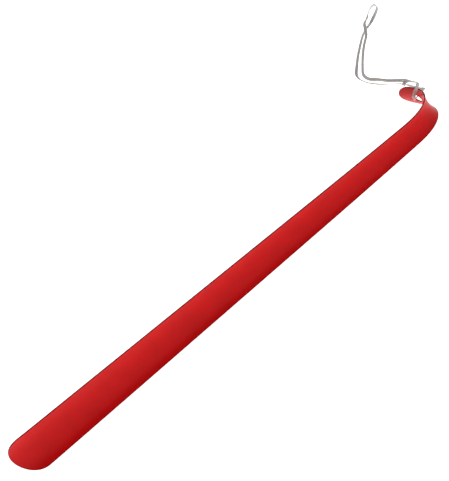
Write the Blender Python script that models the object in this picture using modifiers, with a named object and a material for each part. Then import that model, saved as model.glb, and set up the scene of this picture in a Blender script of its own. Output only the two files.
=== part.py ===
"""Long shoehorn: a sheet-steel trough with a hooked end, and the tape loop that it hangs by.

The horn lies on one long edge of its blade, hollow side to the front, with the hook turned to the
back. +X runs from the tip to the hook, +Y to the back and +Z up. The origin is the bottom centre of
the horn's box. Metres throughout.
"""
import math

import bmesh
import bpy
import numpy as np
from mathutils import Matrix

# Sheet and blade
SHEET = 0.0012
BLADE_LENGTH = 0.560
TIP_HALF_WIDTH = 0.0284
NECK_HALF_WIDTH = 0.0154
END_HALF_WIDTH = 0.0133
TIP_ROUNDING = 0.0277
END_ROUNDING = 0.0197
TIP_DEPTH = 0.0068
NECK_DEPTH = 0.0031
TIGHT_DEPTH = 0.0025
END_DEPTH = 0.0039
TIP_CURL = 0.060
TIP_CURL_TURN = math.radians(3.8)
FLAT_HALF = 0.003
FLAT_SHARE = 1 / 3
RIM_BEVEL = 0.0003

# Hook: the bend eases in, holds its tightest radius briefly and eases out into a straight tab
LEAD_IN = 0.120
LEAD_IN_TURN = math.radians(1.0)
HOOK_RADIUS = 0.0193
HOOK_TURN = math.radians(114.8)
EASE_IN = 0.0502
EASE_OUT = 0.0251
TAB_LENGTH = 0.0242
HOLE_FROM_END = 0.0286
HOLE_RADIUS = 0.0050
HOLE_SIDES = 32
CUTTER_DEPTH = 0.012

# Mesh density
TIP_ROWS = 8
BLADE_ROWS = 16
HOOK_ROWS = 26
TAB_ROWS = 4
END_ROWS = 7
COLUMNS = 6
PATH_SAMPLES = 4000
MERGE = 0.000005
HOOK_REACH = 0.020

# Tape loop and knot
CORD_RADIUS = 0.0015
CORD_STEP = 0.0072
SPAN_SAMPLES = 12
LAID = 0.0017
KNOT_CENTRE = (0.2969, 0.0655, 0.0021)
KNOT_RADII = (0.0022, 0.0021, 0.0019)
KNOT_SEGMENTS = 16
KNOT_RINGS = 10

# The tape's route: from the knot to the hole, back over the hook's edge, out to the loop's end
# and home to the knot's other side
ROUTE = [
    (0.2984, 0.0610, LAID),
    (0.3022, 0.0475, 0.0017),
    (0.3054, 0.0375, 0.0028),
    (0.3070, 0.0285, 0.0060),
    (0.3054, 0.0205, 0.0102),
    (0.3012, 0.0136, 0.0150),
    (0.2956, 0.0093, 0.0176),
    (0.2912, 0.0052, 0.0196),
    (0.2909, 0.0016, 0.0246),
    (0.2944, 0.0002, 0.0300),
    (0.3000, 0.0015, 0.0326),
    (0.3042, 0.0069, 0.0318),
    (0.3049, 0.0182, 0.0260),
    (0.3035, 0.0464, 0.0110),
    (0.3023, 0.0598, 0.0042),
    (0.3008, 0.0672, LAID),
    (0.2977, 0.0728, LAID),
    (0.2865, 0.0907, LAID),
    (0.2796, 0.1048, LAID),
    (0.2723, 0.1197, LAID),
    (0.2710, 0.1338, LAID),
    (0.2773, 0.1490, LAID),
    (0.2945, 0.1790, LAID),
    (0.3062, 0.1935, 0.0024),
    (0.3108, 0.2012, 0.0048),
    (0.3140, 0.2092, 0.0050),
    (0.3200, 0.2188, 0.0024),
    (0.3315, 0.2298, LAID),
    (0.3382, 0.2305, LAID),
    (0.3387, 0.2220, LAID),
    (0.3305, 0.2135, LAID),
    (0.3195, 0.2068, LAID),
    (0.3085, 0.2030, LAID),
    (0.2870, 0.1790, LAID),
    (0.2734, 0.1584, LAID),
    (0.2646, 0.1398, LAID),
    (0.2663, 0.1212, LAID),
    (0.2747, 0.1011, LAID),
    (0.2895, 0.0768, LAID),
    (0.2941, 0.0703, LAID),
]


def clear_scene():
    """Remove every object, so that the model starts from an empty scene."""
    for old in list(bpy.data.objects):
        bpy.data.objects.remove(old, do_unlink=True)


def new_collection(name):
    """Make a collection under the scene."""
    collection = bpy.data.collections.new(name)
    bpy.context.scene.collection.children.link(collection)
    return collection


def plain_material(name, colour, roughness, metallic):
    """Make a Principled material."""
    material = bpy.data.materials.new(name)
    material.use_nodes = True
    shader = material.node_tree.nodes["Principled BSDF"]
    shader.inputs["Base Color"].default_value = (*colour, 1.0)
    shader.inputs["Roughness"].default_value = roughness
    shader.inputs["Metallic"].default_value = metallic
    return material


def horn_material():
    """Red powder coat over steel."""
    return plain_material("red_powder_coat", (0.60, 0.006, 0.012), 0.38, 0.0)


def tape_material():
    """Soft white woven tape."""
    return plain_material("white_tape", (0.86, 0.85, 0.83), 0.85, 0.0)


def hook_stations():
    """Arc lengths where the tightest bend starts and ends, and where the tab starts and ends."""
    eased_turn = (EASE_IN + EASE_OUT) / (2 * HOOK_RADIUS)
    tight_start = BLADE_LENGTH + EASE_IN
    tight_end = tight_start + (HOOK_TURN - eased_turn) * HOOK_RADIUS
    tab_start = tight_end + EASE_OUT
    return tight_start, tight_end, tab_start, tab_start + TAB_LENGTH


def horn_length():
    """Length of the horn's middle line, measured along the sheet."""
    return hook_stations()[3]


def middle_line():
    """Sample the middle line's arc length, its position as drawn in the XZ plane, and its slope."""
    tab_start, end = hook_stations()[2:]
    s = np.linspace(0.0, end, PATH_SAMPLES)
    ease_in = np.clip((s - BLADE_LENGTH) / EASE_IN, 0.0, 1.0)
    ease_out = np.clip((tab_start - s) / EASE_OUT, 0.0, 1.0)
    curvature = np.minimum(ease_in, ease_out) / HOOK_RADIUS
    lead_in = (s > BLADE_LENGTH - LEAD_IN) & (s < BLADE_LENGTH)
    curl = np.clip(1.0 - s / TIP_CURL, 0.0, 1.0) * 2 * TIP_CURL_TURN / TIP_CURL
    curvature = curvature + lead_in * LEAD_IN_TURN / LEAD_IN + curl
    step = s[1] - s[0]

    def running_sum(values):
        return np.concatenate([[0.0], np.cumsum((values[1:] + values[:-1]) * step / 2)])

    slope = running_sum(curvature) - TIP_CURL_TURN - math.atan((TIP_DEPTH - NECK_DEPTH) / BLADE_LENGTH)
    return s, running_sum(np.cos(slope)), running_sum(np.sin(slope)), slope


def row_stations():
    """Arc lengths of the cross-sections, and how far each is narrowed by the rounded ends."""
    end = horn_length()
    tab_start = hook_stations()[2]
    rows = []
    for i in range(TIP_ROWS):
        angle = math.pi / 2 * i / TIP_ROWS
        rows.append((TIP_ROUNDING * (1 - math.cos(angle)), math.sin(angle)))
    rows += [(s, 1.0) for s in np.linspace(TIP_ROUNDING, BLADE_LENGTH, BLADE_ROWS, endpoint=False)]
    rows += [(s, 1.0) for s in np.linspace(BLADE_LENGTH, tab_start, HOOK_ROWS, endpoint=False)]
    rounding_start = end - END_ROUNDING
    rows += [(s, 1.0) for s in np.linspace(tab_start, rounding_start, TAB_ROWS, endpoint=False)]
    for i in range(END_ROWS + 1):
        angle = math.pi / 2 * i / END_ROWS
        rows.append((rounding_start + END_ROUNDING * math.sin(angle), math.cos(angle)))
    return rows


def half_width(s):
    """Half of the sheet's width before its ends are rounded."""
    return np.interp(s, [0.0, BLADE_LENGTH, horn_length()], [TIP_HALF_WIDTH, NECK_HALF_WIDTH, END_HALF_WIDTH])


def trough_depth(s):
    """Depth of the cross-section's arc."""
    tight_start = hook_stations()[0]
    depths = [TIP_DEPTH, NECK_DEPTH, TIGHT_DEPTH, END_DEPTH]
    return np.interp(s, [0.0, BLADE_LENGTH, tight_start, horn_length()], depths)


def arc_drop(s, y):
    """How far the section has curved away from its middle strip at the offset y."""
    width, depth = half_width(s), trough_depth(s)
    radius = (width ** 2 + depth ** 2) / (2 * depth)

    def fall(offset):
        return radius - math.sqrt(radius ** 2 - offset ** 2)

    return fall(y) - fall(FLAT_HALF) if y > FLAT_HALF else 0.0


def section_offsets(half):
    """Offsets of a half section's points: the flat middle strip, then equal steps to the edge."""
    flat = min(FLAT_HALF, half * FLAT_SHARE)
    steps = [flat + (half - flat) * j / (COLUMNS - 1) for j in range(COLUMNS)]
    return [0.0] + steps


def horn_half_mesh():
    """Loft the half of the sheet's outer face at y >= 0, from the tip to the end of the tab."""
    path_s, path_x, path_z, path_slope = middle_line()
    bm = bmesh.new()
    grid = []
    for s, narrowing in row_stations():
        x, z, slope = (float(np.interp(s, path_s, values)) for values in (path_x, path_z, path_slope))
        offsets = section_offsets(max(half_width(s) * narrowing, 0.0))
        row = []
        for y in offsets:
            drop = arc_drop(s, y)
            row.append(bm.verts.new((x + math.sin(slope) * drop, y, z - math.cos(slope) * drop)))
        grid.append(row)
    for lower, upper in zip(grid[:-1], grid[1:]):
        for j in range(COLUMNS):
            bm.faces.new((lower[j], lower[j + 1], upper[j + 1], upper[j]))
    bmesh.ops.remove_doubles(bm, verts=bm.verts, dist=MERGE)
    mesh = bpy.data.meshes.new("horn")
    bm.to_mesh(mesh)
    bm.free()
    mesh.shade_smooth()
    return mesh


def resting_pose(mesh):
    """Lay the drawn horn on its lower long edge and its hook, its box's bottom centre at the origin."""
    level = math.atan((TIP_HALF_WIDTH - NECK_HALF_WIDTH) / BLADE_LENGTH)
    turn = Matrix.Rotation(level, 4, "Y") @ Matrix.Rotation(-math.pi / 2, 4, "X")
    mirrored = Matrix.Scale(-1.0, 4, (0.0, 1.0, 0.0))
    faces = [place for vert in mesh.vertices for place in (vert.co, vert.co - vert.normal * SHEET)]
    drawn = [side @ place for place in faces for side in (Matrix(), mirrored)]
    level_laid = [turn @ place for place in drawn]
    edge = min(level_laid, key=lambda place: place.z)
    hook = [place - edge for place in level_laid if place.y - edge.y > HOOK_REACH]
    roll = min(math.atan2(place.z, place.y) for place in hook)
    turn = Matrix.Rotation(-roll, 4, "X") @ turn
    laid = [turn @ place for place in drawn]
    low = [min(place[axis] for place in laid) for axis in range(3)]
    high = [max(place[axis] for place in laid) for axis in range(3)]
    return Matrix.Translation((-(low[0] + high[0]) / 2, -(low[1] + high[1]) / 2, -low[2])) @ turn


def hole_cutter(collection, pose):
    """A cylinder through the tab, square to the sheet."""
    path_s, path_x, path_z, path_slope = middle_line()
    s = horn_length() - HOLE_FROM_END
    x, z, slope = (float(np.interp(s, path_s, values)) for values in (path_x, path_z, path_slope))
    bm = bmesh.new()
    bmesh.ops.create_cone(bm, cap_ends=True, segments=HOLE_SIDES, radius1=HOLE_RADIUS,
                          radius2=HOLE_RADIUS, depth=CUTTER_DEPTH)
    mesh = bpy.data.meshes.new("hole_cutter")
    bm.to_mesh(mesh)
    bm.free()
    cutter = bpy.data.objects.new("hole_cutter", mesh)
    cutter.matrix_world = pose @ Matrix.Translation((x, 0.0, z)) @ Matrix.Rotation(math.pi - slope, 4, "Y")
    cutter.hide_render = True
    cutter.display_type = "WIRE"
    collection.objects.link(cutter)
    return cutter


def build_horn(collection, cutters):
    """The horn: half a face mirrored, thickened towards the hook's inner side, eased and drilled."""
    mesh = horn_half_mesh()
    pose = resting_pose(mesh)
    horn = bpy.data.objects.new("horn", mesh)
    horn.matrix_world = pose
    collection.objects.link(horn)
    mesh.materials.append(horn_material())
    mirror = horn.modifiers.new("both_halves", "MIRROR")
    mirror.use_axis = (False, True, False)
    mirror.merge_threshold = MERGE
    shell = horn.modifiers.new("sheet", "SOLIDIFY")
    shell.thickness = SHEET
    shell.offset = -1.0
    rim = horn.modifiers.new("rim", "BEVEL")
    rim.width = RIM_BEVEL
    rim.segments = 1
    rim.limit_method = "ANGLE"
    rim.angle_limit = math.radians(60)
    hole = horn.modifiers.new("hole", "BOOLEAN")
    hole.operation = "DIFFERENCE"
    hole.solver = "EXACT"
    hole.object = hole_cutter(cutters, pose)
    return horn


def smooth_route(points):
    """Centripetal Catmull-Rom curve through the points, read at equal steps of length."""
    given = np.array(points)
    padded = np.vstack([2 * given[0] - given[1], given, 2 * given[-1] - given[-2]])
    dense = []
    for i in range(1, len(padded) - 2):
        p0, p1, p2, p3 = padded[i - 1:i + 3]
        t1 = math.sqrt(np.linalg.norm(p1 - p0))
        t2 = t1 + math.sqrt(np.linalg.norm(p2 - p1))
        t3 = t2 + math.sqrt(np.linalg.norm(p3 - p2))
        for t in np.linspace(t1, t2, SPAN_SAMPLES, endpoint=False):
            a1 = (t1 - t) / t1 * p0 + t / t1 * p1
            a2 = (t2 - t) / (t2 - t1) * p1 + (t - t1) / (t2 - t1) * p2
            a3 = (t3 - t) / (t3 - t2) * p2 + (t - t2) / (t3 - t2) * p3
            b1 = (t2 - t) / t2 * a1 + t / t2 * a2
            b2 = (t3 - t) / (t3 - t1) * a2 + (t - t1) / (t3 - t1) * a3
            dense.append((t2 - t) / (t2 - t1) * b1 + (t - t1) / (t2 - t1) * b2)
    dense = np.array(dense + [given[-1]])
    run = np.concatenate([[0.0], np.cumsum(np.linalg.norm(np.diff(dense, axis=0), axis=1))])
    count = round(run[-1] / CORD_STEP) + 1
    places = np.linspace(0.0, run[-1], count)
    return np.column_stack([np.interp(places, run, dense[:, axis]) for axis in range(3)])


def build_tape(collection, material):
    """The tape loop, as a round tube of the tape's bulk along its route."""
    points = smooth_route(ROUTE)
    curve = bpy.data.curves.new("hanging_loop", "CURVE")
    curve.dimensions = "3D"
    curve.bevel_depth = CORD_RADIUS
    curve.bevel_resolution = 2
    curve.use_fill_caps = True
    spline = curve.splines.new("POLY")
    spline.points.add(len(points) - 1)
    for target, point in zip(spline.points, points):
        target.co = (*point, 1.0)
    curve.materials.append(material)
    tape = bpy.data.objects.new("hanging_loop", curve)
    collection.objects.link(tape)
    return tape


def build_knot(collection, material):
    """The knot that closes the loop, as a rounded lump lying on the surface."""
    bm = bmesh.new()
    bmesh.ops.create_uvsphere(bm, u_segments=KNOT_SEGMENTS, v_segments=KNOT_RINGS, radius=1.0)
    bmesh.ops.scale(bm, verts=bm.verts, vec=KNOT_RADII)
    mesh = bpy.data.meshes.new("loop_knot")
    bm.to_mesh(mesh)
    bm.free()
    mesh.shade_smooth()
    mesh.materials.append(material)
    knot = bpy.data.objects.new("loop_knot", mesh)
    knot.location = KNOT_CENTRE
    collection.objects.link(knot)
    return knot


def main():
    clear_scene()
    parts = new_collection("long_shoehorn")
    cutters = new_collection("cutters")
    build_horn(parts, cutters)
    tape = tape_material()
    build_tape(parts, tape)
    build_knot(parts, tape)


main()
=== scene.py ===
"""Looks for the long shoehorn: the coated steel horn, its woven tape loop and the tape's knot.

Metres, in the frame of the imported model: +X from the tip to the hook, +Y to the back, the way the
hook turns, +Z up. The horn lies on one long edge of its blade with its hollow side to the front.
"""
import math

import bmesh
import bpy
import numpy as np
from mathutils import Matrix, Vector


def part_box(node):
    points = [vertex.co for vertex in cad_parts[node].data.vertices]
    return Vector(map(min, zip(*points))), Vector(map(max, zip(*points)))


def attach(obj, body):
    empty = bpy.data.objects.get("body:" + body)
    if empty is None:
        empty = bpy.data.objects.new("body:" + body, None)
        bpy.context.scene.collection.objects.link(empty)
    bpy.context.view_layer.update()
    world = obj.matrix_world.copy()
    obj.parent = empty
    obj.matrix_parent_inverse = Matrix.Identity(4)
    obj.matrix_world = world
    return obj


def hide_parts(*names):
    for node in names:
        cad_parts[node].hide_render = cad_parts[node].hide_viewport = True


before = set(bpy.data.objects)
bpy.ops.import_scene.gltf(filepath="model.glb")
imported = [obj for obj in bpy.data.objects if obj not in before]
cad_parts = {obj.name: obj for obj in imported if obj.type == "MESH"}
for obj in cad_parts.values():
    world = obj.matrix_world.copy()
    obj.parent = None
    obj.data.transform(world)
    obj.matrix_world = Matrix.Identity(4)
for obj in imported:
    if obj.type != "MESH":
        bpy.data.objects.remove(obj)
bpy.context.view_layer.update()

# Camera
CAMERA_TARGET = Vector((0.0267, 0.0694, 0.0))
CAMERA_DISTANCE = 1.7316
CAMERA_AZIMUTH = math.radians(7.39)
CAMERA_ELEVATION = math.radians(35.12)
CAMERA_ROLL = math.radians(-45.47)
CAMERA_LENS_MM = 121.17
SENSOR_MM = 36.0
CAMERA_CLIP_END = 50.0

# Horn: the same driving sizes as the solid
SHEET = 0.0012
BLADE_LENGTH = 0.560
TIP_HALF_WIDTH = 0.0284
NECK_HALF_WIDTH = 0.0154
END_HALF_WIDTH = 0.0133
TIP_ROUNDING = 0.0277
END_ROUNDING = 0.0197
TIP_DEPTH = 0.0068
NECK_DEPTH = 0.0031
TIGHT_DEPTH = 0.0025
END_DEPTH = 0.0039
TIP_CURL = 0.060
TIP_CURL_TURN = math.radians(3.8)
LEAD_IN = 0.120
LEAD_IN_TURN = math.radians(1.0)
HOOK_RADIUS = 0.0193
HOOK_TURN = math.radians(114.8)
EASE_IN = 0.0502
EASE_OUT = 0.0251
TAB_LENGTH = 0.0242
HOLE_FROM_END = 0.0286
HOLE_RADIUS = 0.0050
REST_ROLL = math.radians(0.39)
RIM_ROUNDING = 0.00052
RIM_SEGMENTS = 3
PATH_SAMPLES = 6000

# Horn mesh density
HALF_COLUMNS = 14
TIP_ROWS = 18
BLADE_STEP = 0.004
HOOK_STEP = 0.0016
END_ROWS = 14
PATCH_HALF_ROWS = 5
PATCH_HALF_COLUMNS = 7
PATCH_RINGS = 5
PATCH_REACH = 1.55
RING_EASING = 0.8

# Tape
TAPE_WIDTH = 0.0040
TAPE_THICKNESS = 0.0011
TAPE_STEP = 0.0005
TAPE_AROUND = 28
WEAVE_PITCH = 0.0021
WEAVE_RELIEF = 0.00010
FLOOR_GAP = 0.00008
LAID = 0.0017
LIFTED = 0.0030

OVAL_POWER = 0.62

# Knot
KNOT_CENTRE = Vector((0.2969, 0.0655, 0.0023))
KNOT_REACH = 0.00088
KNOT_RISE = 0.00115
KNOT_TAPE_WIDTH = 0.0021
KNOT_TAPE_THICKNESS = 0.0015
KNOT_AROUND = 16

# Floor
FLOOR_HALF_SIZE = 6.0
FLOOR_DROP = 0.0002

# The tape's route, as in the solid, with the lean of the tape's flat side in degrees from level
ROUTE = [
    (0.2984, 0.0610, 0.0017, 40),
    (0.3022, 0.0475, 0.0017, 20),
    (0.3054, 0.0375, 0.0028, 5),
    (0.3070, 0.0285, 0.0060, 0),
    (0.3054, 0.0205, 0.0102, -15),
    (0.3012, 0.0136, 0.0150, -30),
    (0.2956, 0.0093, 0.0176, -40),
    (0.2912, 0.0052, 0.0196, -60),
    (0.2909, 0.0016, 0.0246, -80),
    (0.2944, 0.0002, 0.0300, -85),
    (0.3000, 0.0015, 0.0326, -80),
    (0.3042, 0.0069, 0.0318, -65),
    (0.3049, 0.0182, 0.0260, -50),
    (0.3035, 0.0464, 0.0110, -25),
    (0.3023, 0.0598, 0.0042, -5),
    (0.3008, 0.0672, 0.0017, 45),
    (0.2977, 0.0728, 0.0017, 50),
    (0.2865, 0.0907, 0.0017, 60),
    (0.2796, 0.1048, 0.0017, 60),
    (0.2723, 0.1197, 0.0017, 30),
    (0.2710, 0.1338, 0.0017, 10),
    (0.2773, 0.1490, 0.0017, 10),
    (0.2945, 0.1790, 0.0017, 0),
    (0.3062, 0.1935, 0.0024, 0),
    (0.3108, 0.2012, 0.0048, 0),
    (0.3140, 0.2092, 0.0050, 0),
    (0.3200, 0.2188, 0.0024, 10),
    (0.3315, 0.2298, 0.0017, 60),
    (0.3382, 0.2305, 0.0017, 85),
    (0.3387, 0.2220, 0.0017, 85),
    (0.3305, 0.2135, 0.0017, 60),
    (0.3195, 0.2068, 0.0017, 20),
    (0.3085, 0.2030, 0.0017, 0),
    (0.2870, 0.1790, 0.0017, 0),
    (0.2734, 0.1584, 0.0017, 10),
    (0.2646, 0.1398, 0.0017, 50),
    (0.2663, 0.1212, 0.0017, 60),
    (0.2747, 0.1011, 0.0017, 40),
    (0.2895, 0.0768, 0.0017, 50),
    (0.2941, 0.0703, 0.0017, 45),
]


# ---------------------------------------------------------------- camera

def make_camera():
    """A long lens above the -Y side, turned about its own axis so that the horn runs diagonally."""
    towards_camera = Vector((
        math.sin(CAMERA_AZIMUTH) * math.cos(CAMERA_ELEVATION),
        -math.cos(CAMERA_AZIMUTH) * math.cos(CAMERA_ELEVATION),
        math.sin(CAMERA_ELEVATION),
    ))
    data = bpy.data.cameras.new("camera")
    data.lens = CAMERA_LENS_MM
    data.sensor_fit = "HORIZONTAL"
    data.sensor_width = SENSOR_MM
    data.clip_end = CAMERA_CLIP_END
    camera = bpy.data.objects.new("camera", data)
    bpy.context.scene.collection.objects.link(camera)
    upright = towards_camera.to_track_quat("Z", "Y").to_matrix()
    rolled = upright @ Matrix.Rotation(CAMERA_ROLL, 3, "Z")
    place = CAMERA_TARGET + towards_camera * CAMERA_DISTANCE
    camera.matrix_world = Matrix.Translation(place) @ rolled.to_4x4()
    bpy.context.scene.camera = camera


# ---------------------------------------------------------------- shared mesh helpers

def mesh_object(name, bm, material):
    """Turn a bmesh into a smooth-shaded object."""
    mesh = bpy.data.meshes.new(name)
    bm.to_mesh(mesh)
    bm.free()
    mesh.shade_smooth()
    mesh.materials.append(material)
    piece = bpy.data.objects.new(name, mesh)
    bpy.context.scene.collection.objects.link(piece)
    return piece


def catmull_rom(points, per_span):
    """Centripetal Catmull-Rom curve through rows of numbers; the first three columns are a place."""
    given = np.array(points, float)
    padded = np.vstack([2 * given[0] - given[1], given, 2 * given[-1] - given[-2]])
    dense = []
    for i in range(1, len(padded) - 2):
        p0, p1, p2, p3 = padded[i - 1:i + 3]
        t1 = math.sqrt(np.linalg.norm((p1 - p0)[:3]))
        t2 = t1 + math.sqrt(np.linalg.norm((p2 - p1)[:3]))
        t3 = t2 + math.sqrt(np.linalg.norm((p3 - p2)[:3]))
        for t in np.linspace(t1, t2, per_span, endpoint=False):
            a1 = (t1 - t) / t1 * p0 + t / t1 * p1
            a2 = (t2 - t) / (t2 - t1) * p1 + (t - t1) / (t2 - t1) * p2
            a3 = (t3 - t) / (t3 - t2) * p2 + (t - t2) / (t3 - t2) * p3
            b1 = (t2 - t) / t2 * a1 + t / t2 * a2
            b2 = (t3 - t) / (t3 - t1) * a2 + (t - t1) / (t3 - t1) * a3
            dense.append((t2 - t) / (t2 - t1) * b1 + (t - t1) / (t2 - t1) * b2)
    return np.array(dense + [given[-1]])


def even_steps(dense, step):
    """Read rows at equal steps of length along their first three columns."""
    run = np.concatenate([[0.0], np.cumsum(np.linalg.norm(np.diff(dense[:, :3], axis=0), axis=1))])
    places = np.linspace(0.0, run[-1], round(run[-1] / step) + 1)
    rows = np.column_stack([np.interp(places, run, dense[:, i]) for i in range(dense.shape[1])])
    return rows, places


# ---------------------------------------------------------------- materials

def node_tree(name):
    """A material with its node tree, its Principled shader and a short way to add nodes."""
    material = bpy.data.materials.new(name)
    material.use_nodes = True
    tree = material.node_tree
    shader = tree.nodes["Principled BSDF"]

    def add(kind, **settings):
        node = tree.nodes.new(kind)
        for key, value in settings.items():
            if key in node.inputs:
                node.inputs[key].default_value = value
            else:
                setattr(node, key, value)
        return node

    return material, tree, shader, add


def ramp(add, stops):
    """A colour ramp with the given (place, colour) stops."""
    node = add("ShaderNodeValToRGB")
    elements = node.color_ramp.elements
    while len(elements) > 1:
        elements.remove(elements[-1])
    elements[0].position, elements[0].color = stops[0]
    for place, colour in stops[1:]:
        elements.new(place).color = colour
    return node


def powder_coat():
    """Satin red powder coat: slight orange peel, a fine grain, faint mottling, painted shade darkening the
    rims and a few worn chips on them.
    """
    material, tree, shader, add = node_tree("red_powder_coat")
    link = tree.links.new
    place = add("ShaderNodeTexCoord").outputs["Object"]

    mottle = add("ShaderNodeTexNoise", Scale=55.0, Detail=3.0, Roughness=0.55)
    link(place, mottle.inputs["Vector"])
    coat = ramp(add, [(0.30, (0.66, 0.0003, 0.0008, 1)), (0.70, (0.74, 0.0005, 0.0012, 1))])
    link(mottle.outputs["Fac"], coat.inputs["Fac"])

    rim = add("ShaderNodeAttribute", attribute_name="rim_distance")
    near_rim = add("ShaderNodeMapRange", clamp=True)
    near_rim.inputs["From Min"].default_value = 0.0002
    near_rim.inputs["From Max"].default_value = 0.0011
    near_rim.inputs["To Min"].default_value = 1.0
    near_rim.inputs["To Max"].default_value = 0.0
    link(rim.outputs["Fac"], near_rim.inputs["Value"])
    # Painted shade: close to every free edge the coat is mixed towards a dark red.
    rim_shade = add("ShaderNodeMix", data_type="RGBA", blend_type="MIX")
    rim_shade.inputs["B"].default_value = (0.16, 0.0008, 0.0020, 1)
    rim_shade_amount = add("ShaderNodeMath", operation="MULTIPLY")
    rim_shade_amount.inputs[1].default_value = 0.75
    link(near_rim.outputs["Result"], rim_shade_amount.inputs[0])
    link(rim_shade_amount.outputs["Value"], rim_shade.inputs["Factor"])
    link(coat.outputs["Color"], rim_shade.inputs["A"])

    nick = add("ShaderNodeTexNoise", Scale=420.0, Detail=2.0, Roughness=0.6)
    link(place, nick.inputs["Vector"])
    nick_mask = add("ShaderNodeMapRange", clamp=True)
    nick_mask.inputs["From Min"].default_value = 0.70
    nick_mask.inputs["From Max"].default_value = 0.74
    link(nick.outputs["Fac"], nick_mask.inputs["Value"])
    worn = add("ShaderNodeMath", operation="MULTIPLY")
    link(nick_mask.outputs["Result"], worn.inputs[0])
    link(near_rim.outputs["Result"], worn.inputs[1])
    bare = add("ShaderNodeMix", data_type="RGBA", blend_type="MIX")
    bare.inputs["B"].default_value = (0.22, 0.20, 0.20, 1)
    link(worn.outputs["Value"], bare.inputs["Factor"])
    link(rim_shade.outputs["Result"], bare.inputs["A"])
    link(bare.outputs["Result"], shader.inputs["Base Color"])

    haze = add("ShaderNodeTexNoise", Scale=24.0, Detail=4.0, Roughness=0.6)
    link(place, haze.inputs["Vector"])
    rough = add("ShaderNodeMapRange")
    rough.inputs["To Min"].default_value = 0.30
    rough.inputs["To Max"].default_value = 0.38
    link(haze.outputs["Fac"], rough.inputs["Value"])
    link(rough.outputs["Result"], shader.inputs["Roughness"])

    peel = add("ShaderNodeTexNoise", Scale=480.0, Detail=1.5, Roughness=0.5)
    link(place, peel.inputs["Vector"])
    peel_bump = add("ShaderNodeBump", Strength=0.16, Distance=0.00012)
    link(peel.outputs["Fac"], peel_bump.inputs["Height"])
    grain = add("ShaderNodeTexNoise", Scale=2600.0, Detail=2.0, Roughness=0.6)
    link(place, grain.inputs["Vector"])
    grain_bump = add("ShaderNodeBump", Strength=0.20, Distance=0.00003)
    link(grain.outputs["Fac"], grain_bump.inputs["Height"])
    link(peel_bump.outputs["Normal"], grain_bump.inputs["Normal"])
    link(grain_bump.outputs["Normal"], shader.inputs["Normal"])
    shader.inputs["Specular IOR Level"].default_value = 0.12
    return material


def woven_tape():
    """Soft white cotton tape: fine yarns, with painted shade darkening the hollows between them."""
    material, tree, shader, add = node_tree("white_tape")
    link = tree.links.new
    # Painted shade: the low parts of the weave are coloured grey and the crowns near white.
    relief = add("ShaderNodeAttribute", attribute_name="yarn_height")
    hollow, slope, crown = (0.50, 0.49, 0.47, 1), (0.80, 0.79, 0.77, 1), (0.90, 0.89, 0.875, 1)
    yarn = ramp(add, [(0.0, hollow), (0.45, slope), (1.0, crown)])
    link(relief.outputs["Fac"], yarn.inputs["Fac"])
    place = add("ShaderNodeTexCoord").outputs["Object"]
    fade = add("ShaderNodeTexNoise", Scale=90.0, Detail=3.0)
    link(place, fade.inputs["Vector"])
    tint = ramp(add, [(0.3, (0.90, 0.89, 0.87, 1)), (0.7, (1.0, 1.0, 1.0, 1))])
    link(fade.outputs["Fac"], tint.inputs["Fac"])
    mixed = add("ShaderNodeMix", data_type="RGBA", blend_type="MULTIPLY", Factor=1.0)
    link(yarn.outputs["Color"], mixed.inputs["A"])
    link(tint.outputs["Color"], mixed.inputs["B"])
    link(mixed.outputs["Result"], shader.inputs["Base Color"])

    fibre = add("ShaderNodeTexNoise", Scale=6000.0, Detail=3.0, Roughness=0.7)
    link(place, fibre.inputs["Vector"])
    fibre_bump = add("ShaderNodeBump", Strength=0.5, Distance=0.00004)
    link(fibre.outputs["Fac"], fibre_bump.inputs["Height"])
    link(fibre_bump.outputs["Normal"], shader.inputs["Normal"])
    rough = add("ShaderNodeMapRange")
    rough.inputs["To Min"].default_value = 0.80
    rough.inputs["To Max"].default_value = 0.95
    link(fibre.outputs["Fac"], rough.inputs["Value"])
    link(rough.outputs["Result"], shader.inputs["Roughness"])
    shader.inputs["Sheen Weight"].default_value = 0.25
    shader.inputs["Sheen Roughness"].default_value = 0.5
    shader.inputs["Subsurface Weight"].default_value = 0.0
    return material


# ---------------------------------------------------------------- tape and knot

def tape_path():
    """The tape's centre line and its lean in radians, at even steps; it never dips into the floor."""
    rows, places = even_steps(catmull_rom(ROUTE, 16), TAPE_STEP)
    lean = np.radians(rows[:, 3])
    half_height = TAPE_WIDTH / 2 * np.abs(np.sin(lean)) + TAPE_THICKNESS / 2 * np.abs(np.cos(lean))
    laid = rows[:, 2] < LIFTED
    centre = rows[:, :3].copy()
    lowest = half_height + WEAVE_RELIEF + FLOOR_GAP
    centre[:, 2] = np.where(laid, lowest + np.clip(rows[:, 2] - LAID, 0.0, 1.0), rows[:, 2])
    kernel = np.hanning(15)
    kernel /= kernel.sum()
    padded = np.pad(centre[:, 2], 7, mode="edge")
    centre[:, 2] = np.maximum(np.convolve(padded, kernel, mode="valid"), np.where(laid, lowest, 0.0))
    return centre, lean, places


def sweep_frames(centre, lean):
    """Side and face directions of the tape at each place, from the level direction and the lean."""
    tangent = np.gradient(centre, axis=0)
    tangent /= np.linalg.norm(tangent, axis=1)[:, None]
    side = np.cross(tangent, [0.0, 0.0, 1.0])
    level = np.linalg.norm(side, axis=1)[:, None]
    side /= np.maximum(level, 1e-6)
    face = np.cross(side, tangent)
    turned_side = side * np.cos(lean)[:, None] + face * np.sin(lean)[:, None]
    turned_face = -side * np.sin(lean)[:, None] + face * np.cos(lean)[:, None]
    return turned_side, turned_face


def tape_section(width, thickness, count):
    """A flat oval outline: (across, up, outward across, outward up) for each of count points."""
    angles = np.arange(count) * 2 * math.pi / count
    across = np.sign(np.cos(angles)) * np.abs(np.cos(angles)) ** OVAL_POWER * width / 2
    up = np.sign(np.sin(angles)) * np.abs(np.sin(angles)) ** OVAL_POWER * thickness / 2
    out = np.column_stack([across / width ** 2, up / thickness ** 2])
    out /= np.linalg.norm(out, axis=1)[:, None]
    return across, up, out


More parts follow.
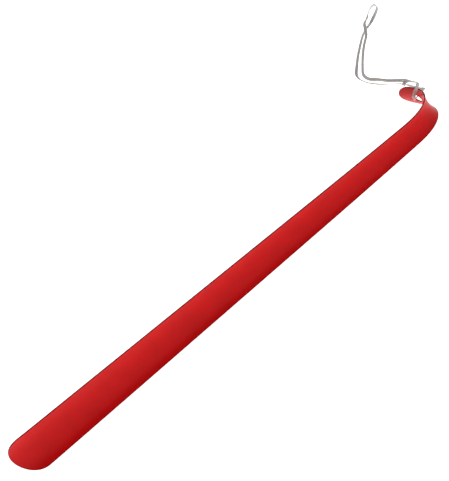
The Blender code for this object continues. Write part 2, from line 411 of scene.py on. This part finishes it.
def yarn_height(along, across, width):
    """Height, 0 to 1, of two sets of diagonal yarns that pass over and under each other."""
    u = along / WEAVE_PITCH
    v = across / width * 3.0
    one = np.abs(np.sin(math.pi * (u + v)))
    two = np.abs(np.sin(math.pi * (u - v)))
    over = 0.5 + 0.5 * np.sign(np.sin(math.pi * (u + v)) * np.sin(math.pi * (u - v)))
    return np.where(over > 0.5, np.maximum(one, two), np.minimum(one, two) * 0.5 + 0.35)


def sweep(name, centre, side, face, places, width, thickness, count, material):
    """Sweep the woven oval along a line, with closed ends."""
    across, up, out = tape_section(width, thickness, count)
    bm = bmesh.new()
    heights = bm.verts.layers.float.new("yarn_height")
    rings = []
    for i, place in enumerate(places):
        yarn = yarn_height(place + np.where(up < 0, WEAVE_PITCH / 2, 0.0), across, width)
        lift = (yarn - 1.0) * WEAVE_RELIEF
        ring = []
        for j in range(count):
            offset = side[i] * (across[j] + out[j, 0] * lift[j]) + face[i] * (up[j] + out[j, 1] * lift[j])
            vert = bm.verts.new(centre[i] + offset)
            vert[heights] = float(yarn[j])
            ring.append(vert)
        rings.append(ring)
    for lower, upper in zip(rings[:-1], rings[1:]):
        for j in range(count):
            k = (j + 1) % count
            bm.faces.new((lower[j], lower[k], upper[k], upper[j]))
    bm.faces.new(rings[0][::-1])
    bm.faces.new(rings[-1])
    bmesh.ops.recalc_face_normals(bm, faces=bm.faces)
    return mesh_object(name, bm, material)


def make_tape(material):
    """The loop of tape."""
    centre, lean, places = tape_path()
    side, face = sweep_frames(centre, lean)
    tape = sweep("tape_loop", centre, side, face, places, TAPE_WIDTH, TAPE_THICKNESS, TAPE_AROUND, material)
    return tape, centre, places[-1]


def make_knot(material):
    """A small overhand knot: a flattened trefoil of the same tape, drawn tight."""
    turns = np.linspace(0.0, 2 * math.pi, 180)
    local = np.column_stack([
        KNOT_REACH * (np.sin(turns) + 2 * np.sin(2 * turns)),
        KNOT_REACH * (np.cos(turns) - 2 * np.cos(2 * turns)),
        -KNOT_RISE * np.sin(3 * turns),
    ])
    dense, places = even_steps(local, 0.0003)
    centre = dense + np.array(KNOT_CENTRE)
    lean = np.radians(35.0) * np.sin(places / places[-1] * 6 * math.pi)
    side, face = sweep_frames(centre, lean)
    return sweep("tape_knot", centre, side, face, places, KNOT_TAPE_WIDTH,
                 KNOT_TAPE_THICKNESS, KNOT_AROUND, material)


# ---------------------------------------------------------------- horn

def hook_stations():
    """Arc lengths where the tightest bend starts and ends, and where the tab starts and ends."""
    eased_turn = (EASE_IN + EASE_OUT) / (2 * HOOK_RADIUS)
    tight_start = BLADE_LENGTH + EASE_IN
    tight_end = tight_start + (HOOK_TURN - eased_turn) * HOOK_RADIUS
    tab_start = tight_end + EASE_OUT
    return tight_start, tight_end, tab_start, tab_start + TAB_LENGTH


def middle_line():
    """The middle line's arc length, its place as drawn in the XZ plane, and its slope."""
    tab_start, end = hook_stations()[2:]
    s = np.linspace(0.0, end, PATH_SAMPLES)
    ease_in = np.clip((s - BLADE_LENGTH) / EASE_IN, 0.0, 1.0)
    ease_out = np.clip((tab_start - s) / EASE_OUT, 0.0, 1.0)
    curvature = np.minimum(ease_in, ease_out) / HOOK_RADIUS
    lead_in = (s > BLADE_LENGTH - LEAD_IN) & (s < BLADE_LENGTH)
    curl = np.clip(1.0 - s / TIP_CURL, 0.0, 1.0) * 2 * TIP_CURL_TURN / TIP_CURL
    curvature = curvature + lead_in * LEAD_IN_TURN / LEAD_IN + curl
    step = s[1] - s[0]

    def running_sum(values):
        return np.concatenate([[0.0], np.cumsum((values[1:] + values[:-1]) * step / 2)])

    taper = math.atan((TIP_DEPTH - NECK_DEPTH) / BLADE_LENGTH)
    slope = running_sum(curvature) - TIP_CURL_TURN - taper
    return s, running_sum(np.cos(slope)), running_sum(np.sin(slope)), slope


def half_width(s):
    """Half of the sheet's width before its ends are rounded."""
    end = hook_stations()[3]
    return np.interp(s, [0.0, BLADE_LENGTH, end], [TIP_HALF_WIDTH, NECK_HALF_WIDTH, END_HALF_WIDTH])


def narrowing(s):
    """How far the rounded tip and tab narrow the sheet, from 0 at an end to 1."""
    end = hook_stations()[3]
    tip = math.sqrt(max(0.0, 1 - max(0.0, 1 - s / TIP_ROUNDING) ** 2))
    tab = math.sqrt(max(0.0, 1 - max(0.0, 1 - (end - s) / END_ROUNDING) ** 2))
    return min(tip, tab)


def arc_radius(s):
    """Radius of the cross-section's arc."""
    stations = hook_stations()
    depths = [TIP_DEPTH, NECK_DEPTH, TIGHT_DEPTH, END_DEPTH]
    depth = np.interp(s, [0.0, BLADE_LENGTH, stations[0], stations[3]], depths)
    return (half_width(s) ** 2 + depth ** 2) / (2 * depth)


def horn_rows():
    """Arc lengths of the mesh's rows, with even rows around the hanging hole."""
    end = hook_stations()[3]
    hole = end - HOLE_FROM_END
    patch = HOLE_RADIUS * PATCH_REACH
    tip = [TIP_ROUNDING * (1 - math.cos(math.pi / 2 * i / TIP_ROWS)) for i in range(TIP_ROWS)]
    blade = np.arange(TIP_ROUNDING, BLADE_LENGTH - BLADE_STEP / 2, BLADE_STEP)
    bend_count = round((hole - patch - BLADE_LENGTH) / HOOK_STEP)
    bend = np.linspace(BLADE_LENGTH, hole - patch, bend_count, endpoint=False)
    around_hole = np.linspace(hole - patch, hole + patch, 2 * PATCH_HALF_ROWS + 1)
    turns = [math.pi / 2 * i / END_ROWS for i in range(END_ROWS + 1)]
    rounding = [end - END_ROUNDING * (1 - math.sin(turn)) for turn in turns]
    rounding = [s for s in rounding if s > hole + patch + HOOK_STEP / 2]
    return [*tip, *blade, *bend, *around_hole, *rounding]


def horn_surface():
    """The outer face as (arc length, offset) points and faces, with a ring mesh around the hole."""
    rows = horn_rows()
    hole = hook_stations()[3] - HOLE_FROM_END
    centre_row = int(np.argmin([abs(s - hole) for s in rows]))
    columns = range(-HALF_COLUMNS, HALF_COLUMNS + 1)
    bm = bmesh.new()
    grid = []
    for s in rows:
        half = half_width(s) * narrowing(s)
        grid.append([bm.verts.new((s, half * j / HALF_COLUMNS, 0.0)) for j in columns])

    def in_patch(i, j):
        rows_off = i - centre_row
        columns_off = j - HALF_COLUMNS
        return (-PATCH_HALF_ROWS <= rows_off < PATCH_HALF_ROWS
                and -PATCH_HALF_COLUMNS <= columns_off < PATCH_HALF_COLUMNS)

    for i in range(len(rows) - 1):
        for j in range(2 * HALF_COLUMNS):
            if not in_patch(i, j):
                bm.faces.new((grid[i][j], grid[i][j + 1], grid[i + 1][j + 1], grid[i + 1][j]))
    add_hole_rings(bm, patch_border(grid, centre_row), hole)
    bmesh.ops.delete(bm, geom=[v for v in bm.verts if not v.link_faces], context="VERTS")
    return bm


def patch_border(grid, centre_row):
    """The grid's vertices around the hole's patch, in order."""
    low, high = centre_row - PATCH_HALF_ROWS, centre_row + PATCH_HALF_ROWS
    left, right = HALF_COLUMNS - PATCH_HALF_COLUMNS, HALF_COLUMNS + PATCH_HALF_COLUMNS
    border = [grid[low][j] for j in range(left, right)]
    border += [grid[i][right] for i in range(low, high)]
    border += [grid[high][j] for j in range(right, left, -1)]
    border += [grid[i][left] for i in range(high, low, -1)]
    return border


def add_hole_rings(bm, border, hole):
    """Join the patch's border to the round hole with rings that turn from one shape to the other."""
    rings = [border]
    for k in range(1, PATCH_RINGS + 1):
        share = (k / PATCH_RINGS) ** RING_EASING
        ring = []
        for vert in border:
            offset = Vector((vert.co.x - hole, vert.co.y, 0.0))
            on_circle = offset.normalized() * HOLE_RADIUS
            ring.append(bm.verts.new(Vector((hole, 0.0, 0.0)) + offset.lerp(on_circle, share)))
        rings.append(ring)
    count = len(border)
    for outer, inner in zip(rings[:-1], rings[1:]):
        for k in range(count):
            n = (k + 1) % count
            bm.faces.new((outer[k], outer[n], inner[n], inner[k]))


def rim_distances(bm):
    """Distance of every vertex to the nearest free edge, worked out on the flat sheet."""
    rim = np.array([(v.co.x, v.co.y) for v in bm.verts if v.is_boundary])
    distances = []
    for vert in bm.verts:
        gaps = rim - np.array((vert.co.x, vert.co.y))
        distances.append(float(np.sqrt((gaps ** 2).sum(axis=1).min())))
    return distances


def bend_sheet(bm):
    """Move every (arc length, offset) point of the flat sheet to its place on the bent trough."""
    path_s, path_x, path_z, path_slope = middle_line()
    for vert in bm.verts:
        s, y = vert.co.x, vert.co.y
        x, z, slope = (float(np.interp(s, path_s, values)) for values in (path_x, path_z, path_slope))
        radius = arc_radius(s)
        drop = radius - math.sqrt(radius ** 2 - y ** 2)
        vert.co = (x + math.sin(slope) * drop, y, z - math.cos(slope) * drop)


def lay_on_edge(bm):
    """Turn the drawn horn onto its lower long edge and its hook, hollow side to the front."""
    level = math.atan((TIP_HALF_WIDTH - NECK_HALF_WIDTH) / BLADE_LENGTH)
    laid = Matrix.Rotation(level, 4, "Y") @ Matrix.Rotation(-math.pi / 2, 4, "X")
    turn = Matrix.Rotation(-REST_ROLL, 4, "X") @ laid
    bmesh.ops.transform(bm, verts=bm.verts, matrix=turn)


def seat_on_frame(horn):
    """Shift the finished sheet onto the middle and the bottom of the horn's box in the frame."""
    low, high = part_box("horn")
    bpy.context.view_layer.update()
    finished = horn.evaluated_get(bpy.context.evaluated_depsgraph_get())
    corners = [Vector(corner) for corner in finished.bound_box]
    least = [min(corner[axis] for corner in corners) for axis in range(3)]
    most = [max(corner[axis] for corner in corners) for axis in range(3)]
    shift = Vector(((low.x + high.x - least[0] - most[0]) / 2,
                    (low.y + high.y - least[1] - most[1]) / 2, low.z - least[2]))
    horn.data.transform(Matrix.Translation(shift))


def make_horn(material):
    """The bent sheet, thickened towards the hook's inner side, with softly rounded rims."""
    bm = horn_surface()
    layer = bm.verts.layers.float.new("rim_distance")
    bmesh.ops.remove_doubles(bm, verts=bm.verts, dist=1e-6)
    for vert, distance in zip(bm.verts, rim_distances(bm)):
        vert[layer] = distance
    bend_sheet(bm)
    lay_on_edge(bm)
    horn = mesh_object("coated_horn", bm, material)
    shell = horn.modifiers.new("sheet", "SOLIDIFY")
    shell.thickness = SHEET
    shell.offset = -1.0
    rim = horn.modifiers.new("rim", "BEVEL")
    rim.width = RIM_ROUNDING
    rim.segments = RIM_SEGMENTS
    rim.limit_method = "ANGLE"
    rim.angle_limit = math.radians(60)
    shading = horn.modifiers.new("shading", "WEIGHTED_NORMAL")
    shading.keep_sharp = True
    seat_on_frame(horn)
    return horn


# ---------------------------------------------------------------- floor and light

def make_floor():
    """A plain white floor that gives off a little light, which brightens the horn's upper half."""
    bm = bmesh.new()
    bmesh.ops.create_grid(bm, x_segments=1, y_segments=1, size=FLOOR_HALF_SIZE)
    material, _, shader, _ = node_tree("pale_floor")
    shader.inputs["Base Color"].default_value = (0.93, 0.93, 0.93, 1)
    shader.inputs["Roughness"].default_value = 0.9
    shader.inputs["Emission Color"].default_value = (1.0, 1.0, 1.0, 1)
    shader.inputs["Emission Strength"].default_value = 1.05
    floor = mesh_object("floor", bm, material)
    floor.location.z = -FLOOR_DROP


def area_light(name, place, aim, size, power):
    """A rectangular soft light that points at aim."""
    data = bpy.data.lights.new(name, "AREA")
    data.shape = "RECTANGLE"
    data.size, data.size_y = size
    data.energy = power
    light = bpy.data.objects.new(name, data)
    bpy.context.scene.collection.objects.link(light)
    direction = Vector(aim) - Vector(place)
    light.matrix_world = (Matrix.Translation(place)
                          @ direction.to_track_quat("-Z", "Y").to_matrix().to_4x4())


def make_lights():
    """A broad soft light behind and above the far side, a weak one overhead, and a dim white surround."""
    area_light("back_softbox", (-0.3, 2.2, 2.2), (0.0, 0.0, 0.0), (3.5, 2.2), 40.0)
    area_light("top_fill", (-0.2, -0.9, 2.8), (0.0, 0.0, 0.0), (2.2, 2.0), 6.0)
    world = bpy.data.worlds.new("surround")
    world.use_nodes = True
    world.node_tree.nodes["Background"].inputs["Color"].default_value = (1.0, 1.0, 1.0, 1)
    world.node_tree.nodes["Background"].inputs["Strength"].default_value = 0.10
    bpy.context.scene.world = world
    bpy.context.scene.view_settings.view_transform = "Standard"


# ---------------------------------------------------------------- build

def main():
    make_camera()
    tape_material = woven_tape()
    tape, centre, length = make_tape(tape_material)
    knot = make_knot(tape_material)
    for piece, node in ((tape, "hanging_loop"), (knot, "loop_knot")):
        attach(piece, "root")
        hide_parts(node)

    horn = make_horn(powder_coat())
    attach(horn, "root")
    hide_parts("horn")

    make_floor()
    make_lights()


main()
